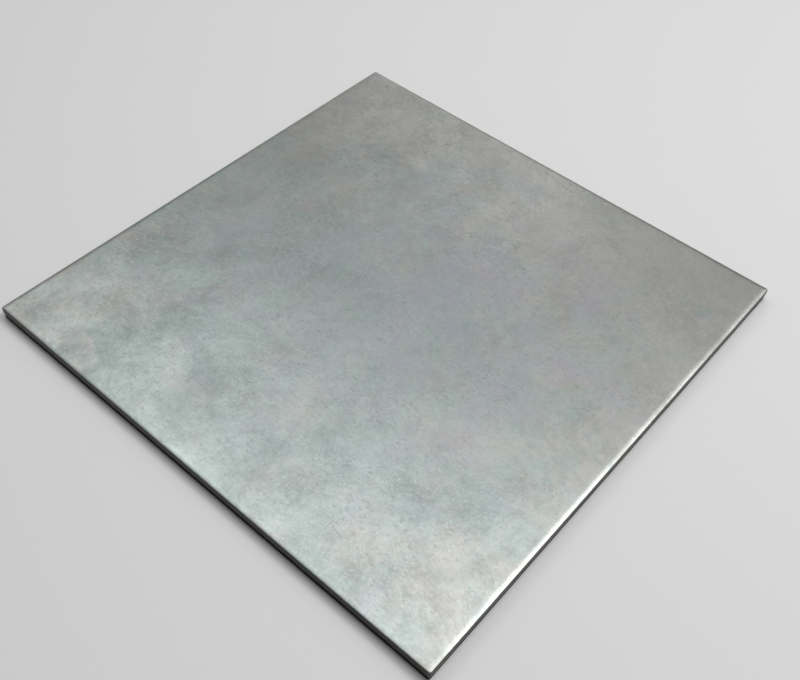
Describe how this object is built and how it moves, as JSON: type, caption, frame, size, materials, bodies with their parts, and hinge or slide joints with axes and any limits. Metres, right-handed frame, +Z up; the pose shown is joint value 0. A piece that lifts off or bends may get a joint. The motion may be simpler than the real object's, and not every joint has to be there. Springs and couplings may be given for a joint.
{
  "type": "titanium sheet",
  "caption": "Flat square titanium sheet with a matte pickled face and sheared edges, sold as raw stock.",
  "frame": {"origin": "middle of the underside, on the surface the sheet lies on", "axes": "+Z up through the thickness, +X along the length, +Y along the width"},
  "size_m": [0.15, 0.15, 0.004],
  "materials": {
    "titanium": "bare commercially pure titanium, pickled matte grey faces with bright rubbed and dark broken bands on the sheared edges"
  },
  "bodies": {
    "root": {"titanium_sheet": "titanium"}
  },
  "joints": []
}
